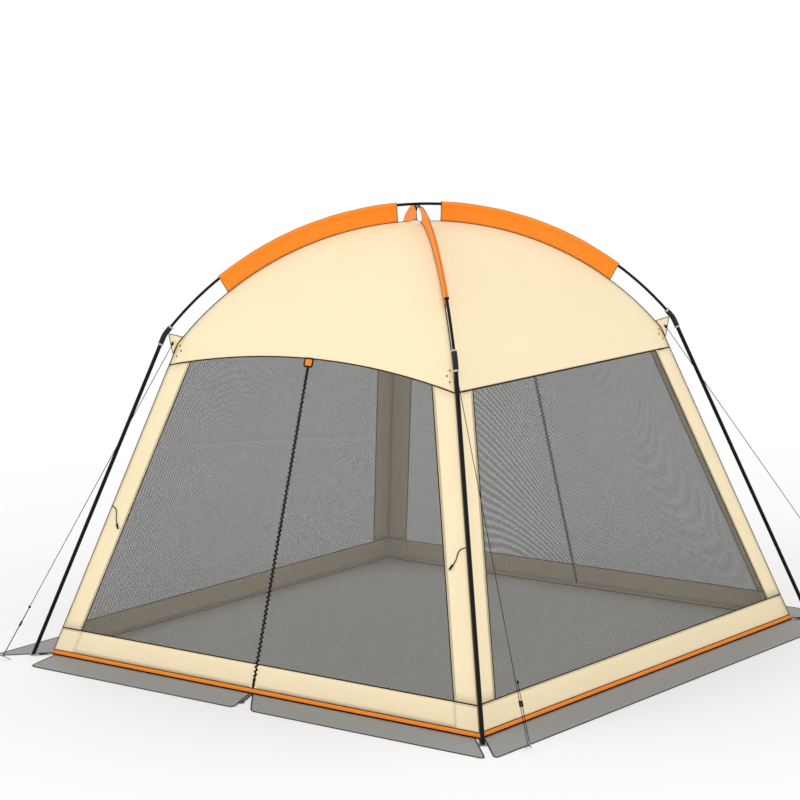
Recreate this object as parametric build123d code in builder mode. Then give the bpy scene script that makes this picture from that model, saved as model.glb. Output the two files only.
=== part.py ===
"""Screen house: a square mesh room under a domed canopy carried by two crossed poles.

Millimetres, +Z up, origin on the ground at the centre of the base.  The door walls face -Y
(front) and +Y (back).  Side 0 is the front, then the sides follow anticlockwise seen from
above: 1 right, 2 back, 3 left.  Corner k stands between side k - 1 and side k.
"""
from build123d import *
from math import asin, atan, atan2, cos, degrees, pi, radians, sin, sqrt, tan
import os

# ---- driving dimensions ---------------------------------------------------------------------
base_half = 1525          # half the base side, at the ground
eave_half = 1015          # half the eave side, at the canopy's hem corners
eave_height = 1640
hem_rise = 105            # how much the hem over each door arches up in the middle
shoulder_height = 1760    # where the canopy turns from wall line to dome
crown_height = 2410       # top of the canopy
fabric = 1.2              # thickness of cloth and mesh
seam_gap = 1              # between a door flap and the cloth round it
strip_width = 150         # corner strips, on each side of the corner seam
band_top = 155            # height of the solid band along the ground
welt_height = 30          # orange tape round the base
welt_out = 2.5

pole_top = (2492, 2508)   # centre of the lower and the upper pole where they cross
mouth_reach = 1423        # elbow mouth: distance from the centre along the diagonal
mouth_height = 1852
pole_radius = 8
pole_sections = 6
section_gap = 0.3         # between the ends of two pole sections
ferrule_length = 60
ferrule_radius = 9.5
ferrule_gap = 0.1         # round the pole inside a ferrule
sleeve_start = 3.9        # sleeve ends, as angles from straight up on the pole's arc
sleeve_end = 37.4
sleeve_radius = 12
sleeve_cloth = 1
fin_thickness = 2

socket = 52               # elbow: from its bend to each mouth
socket_depth = 40
elbow_radius = 15
elbow_bend = 120          # radius of its bend
pole_socket_gap = 0.4
leg_socket_gap = 0.2
collar_length = 9
collar_proud = 1
leg_radius = 11
leg_wall = 1.2
leg_upper_share = 0.47    # of the leg's length
spigot_length = 60        # of the lower section, inside the upper one
foot_half = 1600          # foot position on each axis
foot_plate = 6
foot_plate_radius = 20
foot_pin_radius = 4
foot_pin_length = 90
foot_bar_in = 34          # strap bar of the foot ring, inward of the foot
foot_bar_height = 5.6
foot_bar_half = 16        # half the ring's width
foot_bar_radius = 2.5
strap_half = 10           # half the width of a corner strap

skirt_width = 255
skirt_thick = 1.2
mitre_gap = 24            # skirt ends stay this far from the corner diagonal

zip_tape = 16             # width of each zip half
zip_gap = 2.4             # between the two zip halves, where the slider's post runs
coil = 3
slider_length = 22
slider_width = 12
slider_rest = 60          # height of the slider with the door shut

rope_radius = 2
peg_radius = 3
tie_radius = 2.5

# ---- derived geometry -----------------------------------------------------------------------
lean_run = (base_half - eave_half) / eave_height
lean = atan(lean_run)                                   # wall's lean from upright
shoulder_half = base_half - lean_run * shoulder_height
dome_rise = crown_height - shoulder_height
dome_radius = (2 * shoulder_half**2 + dome_rise**2) / (2 * dome_rise)
dome_centre = crown_height - dome_radius                # height of the ridge arc's centre
corner_names = ("front_left", "front_right", "back_right", "back_left")
side_names = ("front", "right", "back", "left")
foot_reach = foot_half * sqrt(2)

os.makedirs("parts", exist_ok=True)


def save(part, label):
    """Label a finished piece and write its file."""
    part.label = label
    export_step(part, f"parts/{label}.step")


def up_slope(height):
    """Distance up the leaning wall to a height."""
    return height / cos(lean)


def half_at(height):
    """Half the width of the room at a height, on the wall's outer face."""
    return base_half - lean_run * height


def side_angle(side):
    """Direction in plan, in degrees, that a side faces."""
    return -90 + 90 * side


def corner_angle(corner):
    """Direction in plan, in degrees, of a corner."""
    return -135 + 90 * corner


def direction(angle):
    return Vector(cos(radians(angle)), sin(radians(angle)), 0)


def wall_plane(side, out=0.0):
    """Outer face of a wall: x runs along the wall, y up its slope, z outward."""
    facing, along = direction(side_angle(side)), direction(side_angle(side) + 90)
    normal = facing * cos(lean) + Vector(0, 0, sin(lean))
    return Plane(facing * base_half + normal * out, x_dir=along, z_dir=normal)


def upright_plane(angle):
    """Vertical plane through the centre: x outward in the given direction, y up."""
    outward = direction(angle)
    return Plane((0, 0, 0), x_dir=outward, z_dir=outward.cross(Vector(0, 0, 1)))


def hem_line(gap=0.0):
    """The arched hem over a door, as an arc on the wall's plane."""
    low, top = up_slope(eave_height) - gap, up_slope(eave_height + hem_rise) - gap
    ThreePointArc((eave_half, low), (0, top), (-eave_half, low))


def wall_outline(low, gap, arched):
    """Face of a whole wall between a height and the hem, on the wall's plane."""
    bottom, top = up_slope(low), up_slope(eave_height) - gap
    with BuildLine() as outline:
        Polyline((-eave_half, top), (-half_at(low), bottom), (half_at(low), bottom), (eave_half, top))
        if arched:
            hem_line(gap)
        else:
            Line((eave_half, top), (-eave_half, top))
    make_face(outline.edges())


def inner_edge(height):
    """Half-width at the inner edges of the corner strips."""
    return half_at(height) - strip_width


def between_heights(low, high, left, right):
    """Four-sided piece of wall; left and right give half-widths for a height."""
    with BuildLine() as outline:
        Polyline(
            (left(low), up_slope(low)), (right(low), up_slope(low)),
            (right(high), up_slope(high)), (left(high), up_slope(high)), close=True,
        )
    make_face(outline.edges(), mode=Mode.INTERSECT)


def wedge(side):
    """The quarter of space that belongs to a side, between the two corner diagonals."""
    near, far = (direction(corner_angle(c)) * 4000 for c in (side, side + 1))
    with BuildSketch(Plane.XY.offset(-50)) as quarter:
        with BuildLine():
            Polyline((0, 0), (near.X, near.Y), (far.X, far.Y), close=True)
        make_face()
    extrude(quarter.sketch, amount=3500, mode=Mode.INTERSECT)


# ---- canopy ---------------------------------------------------------------------------------
def dome_profile():
    """Section through one roof panel, square to its side: the dome arc, then the valance."""
    reach = dome_radius / sqrt(2)
    turn = degrees(atan2((shoulder_height - dome_centre) / dome_radius, shoulder_half / reach))
    step_in = fabric / cos(lean)
    centre = (0, dome_centre)
    with BuildLine() as outline:
        outer = EllipticalCenterArc(centre, reach, dome_radius, turn, arc_size=90 - turn)
        inner = EllipticalCenterArc(
            centre, reach - step_in, dome_radius - fabric, turn, arc_size=90 - turn
        )
        Line(outer @ 1, inner @ 1)
        Polyline(outer @ 0, (eave_half, eave_height), (eave_half - step_in, eave_height), inner @ 0)
    make_face(outline.edges())


for side in range(4):
    with BuildPart() as roof_panel:
        with BuildSketch(upright_plane(side_angle(side))):
            dome_profile()
        extrude(amount=base_half, both=True)
        wedge(side)
        if side in (0, 2):
            with BuildSketch(wall_plane(side, 20)):
                with BuildLine():
                    hem_line()
                    Line((-eave_half, up_slope(eave_height)), (eave_half, up_slope(eave_height)))
                make_face()
            extrude(amount=-60, mode=Mode.SUBTRACT)
    save(roof_panel.part, f"roof_panel_{side_names[side]}")


# ---- poles, ferrules and sleeves ------------------------------------------------------------
def pole_arc(which):
    """Radius and centre height of a pole's arc, and its angle at the elbow's mouth."""
    rise = pole_top[which] - mouth_height
    radius = (mouth_reach**2 + rise**2) / (2 * rise)
    return radius, pole_top[which] - radius, degrees(asin(mouth_reach / radius))


def pole_plane(which):
    """Vertical plane of a pole, with x toward its elbow on the right-hand side of the room."""
    return upright_plane(corner_angle(1 if which == 0 else 2))


def along_pole(which, start, end, outer, inner=0.0):
    """Rod or tube along a pole, between two angles from straight up."""
    radius, centre, _ = pole_arc(which)
    with BuildLine(pole_plane(which)) as path:
        CenterArc((0, centre), radius, 90 - start, start - end)
    with BuildSketch(Plane(path.line @ 0, z_dir=path.line % 0)) as section:
        Circle(outer)
        if inner:
            Circle(inner, mode=Mode.SUBTRACT)
    sweep(section.sketch, path=path.line)


def elbow_axes(corner):
    """Mouth, bend and foot of a corner's elbow and leg, and their directions."""
    radius, centre, turn = pole_arc((corner + 1) % 2)
    outward = direction(corner_angle(corner))
    up_pole = outward * -cos(radians(turn)) + Vector(0, 0, sin(radians(turn)))
    mouth = outward * mouth_reach + Vector(0, 0, mouth_height)
    bend = mouth - up_pole * socket
    foot = outward * foot_reach + Vector(0, 0, foot_plate)
    down_leg = (foot - bend).normalized()
    return mouth, bend, foot, up_pole, down_leg


def plane_on(point, axis):
    """Plane square to an axis, with its x direction level."""
    return Plane(point, x_dir=axis.cross(Vector(0, 0, 1)).normalized(), z_dir=axis)


ferrule_parts = []
for which, name in enumerate(("lower", "upper")):
    radius, centre, turn = pole_arc(which)
    section = 2 * turn / pole_sections
    clear = degrees(section_gap / 2 / radius)
    with BuildPart() as roof_pole:
        for n in range(pole_sections):
            along_pole(which, -turn + n * section + clear, -turn + (n + 1) * section - clear, pole_radius)
        for corner in (0, 1, 2, 3):
            if (corner + 1) % 2 == which:
                mouth, bend, foot, up_pole, down_leg = elbow_axes(corner)
                with BuildSketch(plane_on(mouth - up_pole * section_gap, up_pole * -1)):
                    Circle(pole_radius)
                extrude(amount=socket_depth - 4)
    save(roof_pole.part, f"roof_pole_{name}")

    half_ferrule = degrees(ferrule_length / 2 / radius)
    for n in range(1, pole_sections):
        joint = -turn + n * section
        offset = 0 if abs(joint) > 1 else sleeve_start + 5
        with BuildPart() as ferrule:
            along_pole(which, joint + offset - half_ferrule, joint + offset + half_ferrule,
                       ferrule_radius, pole_radius + ferrule_gap)
        ferrule_parts.append(ferrule.part)

    with BuildPart() as sleeve:
        for hand in (-1, 1):
            first, last = sorted((hand * sleeve_start, hand * sleeve_end))
            along_pole(which, first, last, sleeve_radius, sleeve_radius - sleeve_cloth)
            with BuildSketch(pole_plane(which)):
                with BuildLine():
                    rim_radius = radius - sleeve_radius + sleeve_cloth / 2
                    rim = CenterArc((0, centre), rim_radius, 90 - first, first - last)
                    seam = CenterArc((0, dome_centre), dome_radius + 1, 90 - first, first - last)
                    Line(rim @ 0, seam @ 0)
                    Line(rim @ 1, seam @ 1)
                make_face()
            extrude(amount=fin_thickness / 2, both=True)
    save(sleeve.part, f"pole_sleeve_{name}")
save(Compound(children=ferrule_parts), "pole_ferrules")

# ---- elbows, collars, legs and feet ---------------------------------------------------------
collar_parts, foot_parts, strap_parts = [], [], []
for corner, name in enumerate(corner_names):
    mouth, bend, foot, up_pole, down_leg = elbow_axes(corner)
    low_mouth = bend + down_leg * socket
    with BuildPart() as elbow:
        with BuildLine() as path:
            FilletPolyline(mouth, bend, low_mouth, radius=elbow_bend)
        with BuildSketch(Plane(path.line @ 0, z_dir=path.line % 0)):
            Circle(elbow_radius)
        sweep()
        with BuildSketch(plane_on(mouth, up_pole * -1)):
            Circle(pole_radius + pole_socket_gap)
        extrude(amount=socket_depth, mode=Mode.SUBTRACT)
        with BuildSketch(plane_on(low_mouth, down_leg * -1)):
            Circle(leg_radius + leg_socket_gap)
        extrude(amount=socket_depth, mode=Mode.SUBTRACT)
    save(elbow.part, f"elbow_{name}")

    collars = (
        (mouth, up_pole, pole_radius + pole_socket_gap + 0.2),
        (low_mouth, down_leg, leg_radius + leg_socket_gap + 0.1),
    )
    for start, axis, bore in collars:
        with BuildPart() as collar:
            with BuildSketch(plane_on(start, axis)):
                Circle(elbow_radius + collar_proud)
                Circle(bore, mode=Mode.SUBTRACT)
            extrude(amount=collar_length)
        collar_parts.append(collar.part)

    leg_start = low_mouth - down_leg * (socket_depth - 2)
    leg_length = (foot - leg_start).length
    upper_length = leg_upper_share * leg_length
    joint = leg_start + down_leg * upper_length
    with BuildPart() as leg:
        with BuildSketch(plane_on(leg_start, down_leg)):
            Circle(leg_radius)
            Circle(leg_radius - leg_wall, mode=Mode.SUBTRACT)
        extrude(amount=upper_length)
        with BuildSketch(plane_on(joint + down_leg * 0.5, down_leg)):
            Circle(leg_radius)
            Circle(leg_radius - 2 * leg_wall, mode=Mode.SUBTRACT)
        extrude(amount=leg_length - upper_length + 20)
        with BuildSketch(plane_on(joint - down_leg * spigot_length, down_leg)):
            Circle(leg_radius - leg_wall - leg_socket_gap)
            Circle(leg_radius - 2 * leg_wall, mode=Mode.SUBTRACT)
        extrude(amount=spigot_length + 1)
        split(bisect_by=Plane.XY.offset(foot_plate), keep=Keep.TOP)
    save(leg.part, f"leg_{name}")

    outward = direction(corner_angle(corner))
    across = outward.cross(Vector(0, 0, 1))
    ground = outward * foot_reach
    with BuildPart() as foot_pin:
        with BuildSketch(Plane(ground, x_dir=outward, z_dir=(0, 0, 1))):
            Circle(foot_plate_radius)
        extrude(amount=foot_plate)
        with BuildSketch(plane_on(foot - down_leg * foot_pin_length, down_leg)):
            Circle(foot_pin_radius)
        extrude(amount=foot_pin_length)
        with BuildLine() as bar:
            bar_low = ground + Vector(0, 0, foot_bar_height)
            FilletPolyline(
                bar_low + across * foot_bar_half,
                bar_low + across * foot_bar_half - outward * foot_bar_in,
                bar_low - across * foot_bar_half - outward * foot_bar_in,
                bar_low - across * foot_bar_half,
                radius=5,
            )
        with BuildSketch(Plane(bar.line @ 0, z_dir=bar.line % 0)):
            Circle(foot_bar_radius)
        sweep()
    foot_parts.append(foot_pin.part)

    strap_in = base_half * sqrt(2) + welt_out * sqrt(2) + 0.5
    loop_out = foot_reach - foot_bar_in
    with BuildPart() as strap:
        with BuildSketch(upright_plane(corner_angle(corner))):
            with Locations((loop_out, foot_bar_height)):
                Circle(5.2)
                Circle(3.4, mode=Mode.SUBTRACT)
            with BuildLine():
                Polyline(
                    (strap_in, 12), (loop_out - 4, 8.4), (loop_out - 4, 6.4), (strap_in, 10),
                    close=True,
                )
            make_face()
        extrude(amount=strap_half, both=True)
    strap_parts.append(strap.part)
save(Compound(children=collar_parts), "elbow_collars")
save(Compound(children=foot_parts), "foot_pins")
save(Compound(children=strap_parts), "ground_straps")

# ---- walls that stay put --------------------------------------------------------------------
for corner, name in enumerate(corner_names):
    halves = []
    for side, hand in ((corner, -1), ((corner - 1) % 4, 1)):
        with BuildPart() as half_strip:
            with BuildSketch(wall_plane(side)):
                wall_outline(band_top, 0, side in (0, 2))
                between_heights(
                    band_top, eave_height + hem_rise,
                    lambda h: hand * (half_at(h) + 1), lambda h: hand * inner_edge(h),
                )
            extrude(amount=-fabric)
            wedge(side)
        halves.append(half_strip.part)
    with BuildPart() as strip:
        add(halves)
    save(strip.part, f"corner_strip_{name}")

for side in (1, 3):
    with BuildPart() as mesh:
        with BuildSketch(wall_plane(side)):
            wall_outline(band_top, 0, False)
            between_heights(band_top, eave_height, lambda h: -inner_edge(h), inner_edge)
        extrude(amount=-fabric)
    save(mesh.part, f"mesh_{side_names[side]}")

band_parts = []
for side in range(4):
    with BuildPart() as band:
        with BuildSketch(wall_plane(side)):
            wall_outline(welt_height, 0, False)
            between_heights(welt_height, band_top, lambda h: -half_at(h), half_at)
        extrude(amount=-fabric)
        wedge(side)
        if side in (0, 2):
            with BuildSketch(wall_plane(side, 5)):
                wall_outline(0, 0, False)
                between_heights(0, band_top + 20, lambda h: -inner_edge(h), inner_edge)
            extrude(amount=-20, mode=Mode.SUBTRACT)
    band_parts.append(band.part)
save(Compound(children=band_parts), "wall_bands")

welt_parts = []
for side in range(4):
    with BuildPart() as welt:
        with BuildSketch(wall_plane(side, welt_out)):
            with BuildLine():
                Polyline(
                    (-base_half - 20, up_slope(0)), (base_half + 20, up_slope(0)),
                    (base_half + 20, up_slope(welt_height)), (-base_half - 20, up_slope(welt_height)),
                    close=True,
                )
            make_face()
        extrude(amount=-welt_out - fabric)
        wedge(side)
        split(bisect_by=Plane.XY, keep=Keep.TOP)
    welt_parts.append(welt.part)
save(Compound(children=welt_parts), "base_welt")

# ---- ground skirts --------------------------------------------------------------------------
skirt_in = base_half + 5
skirt_out = skirt_in + skirt_width
corner_in = skirt_in - mitre_gap * sqrt(2)
corner_out = skirt_out - mitre_gap * sqrt(2)
front_left_out = 1427     # this flap's outer corner is cut back
split_left_out = 100      # the split under the door is cut askew
split_right_out = 225
skirt_flaps = (
    (0, (-corner_in, -12), (-front_left_out, split_left_out)),
    (0, (12, corner_in), (split_right_out, corner_out)),
    (1, (-corner_in, corner_in), (-corner_out, corner_out)),
    (2, (-corner_in, -12), (-corner_out, split_left_out)),
    (2, (12, corner_in), (split_right_out, corner_out)),
    (3, (-corner_in, corner_in), (-corner_out, corner_out)),
)
skirt_parts = []
for side, (in_a, in_b), (out_a, out_b) in skirt_flaps:
    with BuildPart() as flap:
        with BuildSketch(Plane((0, 0, 0), x_dir=direction(side_angle(side) + 90), z_dir=(0, 0, 1))):
            with BuildLine():
                Polyline(
                    (in_a, -skirt_in), (in_b, -skirt_in), (out_b, -skirt_out), (out_a, -skirt_out),
                    close=True,
                )
            make_face()
        extrude(amount=skirt_thick)
    skirt_parts.append(flap.part)
save(Compound(children=skirt_parts), "ground_skirts")

# ---- gussets, eyelets and rivets at the canopy corners --------------------------------------
guy_eyelet = (1410, 1765)         # along the diagonal, and height
eyelet_outer = 6
eyelet_inner = 4
eyelet_rim = 1.2
gusset_half = 0.8                 # half its thickness
gusset_outline = ((1355, 1797), (1428, 1817), (1431, 1808), (1413, 1703), (1385.5, 1760))
rivet_radius = 5
rivet_proud = 1.5
rivet_spots = ((24, 1750), (46, 1722), (30, 1692))   # distance from the corner seam, and height
gusset_parts, eyelet_parts, rivet_parts = [], [], []
for corner in range(4):
    with BuildPart() as gusset:
        with BuildSketch(upright_plane(corner_angle(corner))):
            with BuildLine():
                Polyline(*gusset_outline, close=True)
            make_face()
            with Locations(guy_eyelet):
                Circle(eyelet_outer, mode=Mode.SUBTRACT)
        extrude(amount=gusset_half, both=True)
    gusset_parts.append(gusset.part)

    with BuildPart() as eyelet:
        with BuildSketch(upright_plane(corner_angle(corner))):
            with Locations(guy_eyelet):
                Circle(eyelet_outer)
                Circle(eyelet_inner, mode=Mode.SUBTRACT)
        extrude(amount=gusset_half + eyelet_rim, both=True)
    eyelet_parts.append(eyelet.part)

for side, hand in ((0, -1), (0, 1), (1, 1), (3, -1)):
    for inward, height in rivet_spots:
        with BuildPart() as rivet:
            with BuildSketch(wall_plane(side)):
                with Locations((hand * (half_at(height) - inward), up_slope(height))):
                    Circle(rivet_radius)
            extrude(amount=rivet_proud)
        rivet_parts.append(rivet.part)
save(Compound(children=gusset_parts), "corner_gussets")
save(Compound(children=eyelet_parts + rivet_parts), "corner_eyelets")

# ---- doors ----------------------------------------------------------------------------------
hinge_gap = 2             # between a corner strip and the door flap hinged on it
tab_width = 55            # orange tab sewn to the hem at the top of each zip
tab_low = 1704            # its lower edge
tab_proud = 1.2
zip_inner = zip_gap / 2
zip_outer = zip_inner + zip_tape
coil_proud = 1.0
loop_width = 12           # webbing of the peg loops under the doors
loop_ring = (15, 8)       # outer and inner radius of the ring at its end
loop_low = 1.4
loop_thick = 1.6


def tab_notch():
    """Leave room for the orange tab at the top of a door."""
    low, high = up_slope(tab_low - seam_gap), up_slope(eave_height + hem_rise)
    with Locations((0, (low + high) / 2)):
        Rectangle(tab_width + 2 * seam_gap, high - low, mode=Mode.SUBTRACT)


def flap_face(low, high, near, far, hand):
    """Face of one strip of a door flap; near and far give distances from the zip's centre."""
    wall_outline(low, seam_gap, True)
    between_heights(low, high, lambda h: hand * near(h), lambda h: hand * far(h))
    tab_notch()


def hinge_edge(height):
    return inner_edge(height) - hinge_gap


tab_parts, loop_parts = [], []
hem_top = eave_height + hem_rise
flap_low = welt_height + seam_gap
for side in (0, 2):
    for hand, word in ((-1, "left"), (1, "right")):
        flap_name = f"{side_names[side]}_{word}"
        with BuildPart() as door_mesh:
            with BuildSketch(wall_plane(side)):
                flap_face(band_top, hem_top, lambda h: zip_outer, hinge_edge, hand)
            extrude(amount=-fabric)
        save(door_mesh.part, f"door_mesh_{flap_name}")

        with BuildPart() as door_band:
            with BuildSketch(wall_plane(side)):
                flap_face(flap_low, band_top, lambda h: zip_outer, hinge_edge, hand)
            extrude(amount=-fabric)
        save(door_band.part, f"door_band_{flap_name}")

        with BuildPart() as zip_half:
            with BuildSketch(wall_plane(side)):
                flap_face(flap_low, hem_top, lambda h: zip_inner, lambda h: zip_outer, hand)
            extrude(amount=-fabric)
            with BuildSketch(wall_plane(side, coil_proud)):
                flap_face(flap_low, hem_top, lambda h: zip_inner, lambda h: zip_inner + coil, hand)
            extrude(amount=-fabric - 2 * coil_proud)
        save(zip_half.part, f"zip_{flap_name}")

    with BuildPart() as tab:
        with BuildSketch(wall_plane(side, tab_proud)):
            wall_outline(band_top, 0, True)
            between_heights(tab_low, hem_top, lambda h: -tab_width / 2, lambda h: tab_width / 2)
        extrude(amount=-fabric - tab_proud)
    tab_parts.append(tab.part)

    with BuildPart() as peg_loop:
        with BuildSketch(Plane((0, 0, loop_low), x_dir=direction(side_angle(side) + 90), z_dir=(0, 0, 1))):
            with BuildLine() as strap_line:
                Line((8, -skirt_in - 1), (72, -skirt_in - 150))
            trace(line_width=loop_width)
            with Locations((78, -skirt_in - 163)):
                Circle(loop_ring[0])
                Circle(loop_ring[1], mode=Mode.SUBTRACT)
        extrude(amount=loop_thick)
    loop_parts.append(peg_loop.part)
save(Compound(children=tab_parts), "door_tabs")
save(Compound(children=loop_parts), "door_peg_loops")

# ---- zip sliders and their pulls ------------------------------------------------------------
plate = 1.8
slide_gap = 0.4
front_out = coil_proud + slide_gap
back_in = fabric + coil_proud + slide_gap
bail_out = front_out + plate + 2.6       # the pull's hinge line, out from the wall
bail_up = 8                              # and up the zip from the slider's middle
pull_length = 30
pull_width = 7.2
pin_radius = 0.8
ear_out = 4.9                            # ears that carry the pull's pin
for side in (0, 2):
    middle = up_slope(slider_rest)
    with BuildPart() as slider:
        for level, thick in ((front_out, plate), (-back_in, -plate)):
            with BuildSketch(wall_plane(side, level)):
                with Locations((0, middle)):
                    RectangleRounded(slider_width, slider_length, 3)
            extrude(amount=thick)
        with BuildSketch(wall_plane(side, front_out)):
            with Locations((0, middle + slider_length / 2 - 4)):
                Rectangle(zip_gap - 2 * 0.3, 6)
        extrude(amount=-front_out - back_in)
        for hand in (-1, 1):
            with BuildSketch(wall_plane(side, front_out + plate)):
                with Locations((hand * ear_out, middle + bail_up)):
                    Rectangle(1.2, 4)
            extrude(amount=4)
        pin_plane = wall_plane(side)
        pin_middle = pin_plane.from_local_coords(Vector(0, middle + bail_up, bail_out))
        with BuildSketch(Plane(pin_middle - pin_plane.x_dir * 5, z_dir=pin_plane.x_dir)):
            Circle(pin_radius)
        extrude(amount=10)
    save(slider.part, f"zip_slider_{side_names[side]}")

    with BuildPart() as pull:
        with BuildSketch(Plane(pin_middle - pin_plane.x_dir * (pull_width / 2), z_dir=pin_plane.x_dir)):
            Circle(2)
        extrude(amount=pull_width)
        with BuildSketch(wall_plane(side, bail_out - 0.8)):
            with Locations((0, middle + bail_up - pull_length / 2)):
                RectangleRounded(pull_width, pull_length, 2)
        extrude(amount=1.6)
        with BuildSketch(Plane(pin_middle - pin_plane.x_dir * 5, z_dir=pin_plane.x_dir)):
            Circle(pin_radius + 0.3)
        extrude(amount=10, mode=Mode.SUBTRACT)
    save(pull.part, f"zip_pull_{side_names[side]}")

# ---- tie-back cords on the front corner strips ----------------------------------------------
tie_route = ((4, 0), (36, -9), (58, -33), (68, -65), (92, -91))   # in from the seam, and down
tie_starts = ((-1, 846), (1, 894))
toggle_radius = 5.5
toggle_length = 32
cord_gap = 0.3            # between a cord and what it lies on
toggle_parts = []


def corner_radii(points):
    """Arc radii along a route: 0.45 of the shorter run, over the tangent of half the turn."""
    radii = []
    for a, b, c in zip(points, points[1:], points[2:]):
        turn = radians((b - a).get_angle(c - b))
        radii.append(0.45 * min((b - a).length, (c - b).length) / tan(turn / 2))
    return radii


def report_tube(label, path, tube, radius):
    """Print a cord's length, and its volume over its section times its length."""
    length = sum(edge.length for edge in path.edges())
    print(label, "length", round(length), "volume share", round(tube.volume / (pi * radius**2 * length), 4))


for hand, start_height in tie_starts:
    word = "left" if hand < 0 else "right"
    wall = wall_plane(0)
    points = []
    for inward, rise in tie_route:
        height = start_height + rise
        flat = Vector(hand * (half_at(height) - inward), up_slope(height), tie_radius + cord_gap)
        points.append(wall.from_local_coords(flat))
    radii = corner_radii(points)
    print(f"tie_cord_{word} radii", [round(r) for r in radii])
    with BuildPart() as tie_cord:
        with BuildLine() as path:
            FilletPolyline(*points, radius=radii)
        with BuildSketch(Plane(path.line @ 0, z_dir=path.line % 0)):
            Circle(tie_radius)
        sweep()
    report_tube(f"tie_cord_{word}", path, tie_cord.part, tie_radius)
    save(tie_cord.part, f"tie_cord_{word}")

    heading = (points[-1] - points[-2]).normalized()
    toggle_start = points[-1] + wall.z_dir * (toggle_radius - tie_radius)
    with BuildPart() as toggle:
        with BuildSketch(plane_on(toggle_start, heading)):
            Circle(toggle_radius)
        extrude(amount=toggle_length)
        fillet(toggle.edges().filter_by(GeomType.CIRCLE).sort_by(SortBy.DISTANCE)[-1:], radius=2)
    toggle_parts.append(toggle.part)
save(Compound(children=toggle_parts), "tie_toggles")

# ---- guy ropes, runners and pegs ------------------------------------------------------------
guy_ends = {0: (-1665, -1775), 1: (1832, -1540), 2: (1890, 1785)}   # turn round the peg, in plan
guy_end_height = 20
strand_half = peg_radius + rope_radius + cord_gap
knot_radius = 4.5
knot_length = 9
runner_up = 215           # runner's middle, along the rope from the peg
runner_length = 30
runner_width = 22
runner_depth = 10
return_length = 320       # from the peg to the stopper knot
tie_off = 7.5             # rope's knot, sideways from the gusset
peg_rise = 24             # peg's stem above the rope, then its hook
hook_reach = 16
hook_drop = 13
peg_parts, knot_parts = [], []
for corner, (end_x, end_y) in guy_ends.items():
    name = corner_names[corner]
    outward = direction(corner_angle(corner))
    across = outward.cross(Vector(0, 0, 1))
    near_turn = Vector(end_x, end_y, guy_end_height)
    hand = 1 if near_turn.dot(across) > 0 else -1
    tied = outward * guy_eyelet[0] + Vector(0, 0, guy_eyelet[1]) + across * (hand * tie_off)
    run = (near_turn - tied).normalized()
    level = run.cross(Vector(0, 0, 1)).normalized()
    far_turn = near_turn - level * (2 * strand_half)
    tail_end = far_turn - run * return_length
    rope_start = tied + run * knot_length

    with BuildPart() as rope:
        with BuildLine() as path:
            FilletPolyline(rope_start, near_turn, far_turn, tail_end, radius=strand_half - 0.1)
        with BuildSketch(Plane(path.line @ 0, z_dir=path.line % 0)):
            Circle(rope_radius)
        sweep()
    report_tube(f"guy_rope_{name}", path, rope.part, rope_radius)
    save(rope.part, f"guy_rope_{name}")

    for knot_at in (tied, tail_end - run * knot_length):
        with BuildPart() as knot:
            with BuildSketch(plane_on(knot_at, run)):
                Circle(knot_radius)
            extrude(amount=knot_length)
        knot_parts.append(knot.part)

    runner_start = near_turn - level * strand_half - run * (runner_up + runner_length / 2)
    with BuildPart() as runner:
        with BuildSketch(Plane(runner_start, x_dir=level, z_dir=run)):
            RectangleRounded(runner_width, runner_depth, 4)
            with Locations((-strand_half, 0), (strand_half, 0)):
                Circle(rope_radius + 0.4, mode=Mode.SUBTRACT)
        extrude(amount=runner_length)
    save(runner.part, f"guy_runner_{name}")

    peg_middle = near_turn - level * strand_half - run * strand_half
    peg_up = level.cross(run).normalized()
    peg_up = peg_up if peg_up.Z > 0 else peg_up * -1
    peg_top = peg_middle + peg_up * peg_rise
    hook = peg_top + run * hook_reach
    with BuildPart() as peg:
        with BuildLine() as path:
            FilletPolyline(
                peg_middle - peg_up * (peg_middle.Z / peg_up.Z + 12),
                peg_top, hook, hook - peg_up * hook_drop,
                radius=7.5,
            )
        with BuildSketch(Plane(path.line @ 0, z_dir=path.line % 0)):
            Circle(peg_radius)
        sweep()
        split(bisect_by=Plane.XY, keep=Keep.TOP)
    peg_parts.append(peg.part)
save(Compound(children=knot_parts), "guy_knots")
save(Compound(children=peg_parts), "guy_pegs")
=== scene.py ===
"""Looks of the screen house: cloth, mesh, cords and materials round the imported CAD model.

Metres, +Z up, in the frame of the CAD model.  Side 0 is the front (-Y), then right, back and
left.  Corner k stands between side k - 1 and side k.  A wall point is given by its distance
along the wall, its height, and how far it stands out from the wall's outer face.
"""

from math import asin, atan, atan2, cos, pi, radians, sin, sqrt

import bmesh
import bpy
from mathutils import Matrix, Vector, noise


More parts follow.
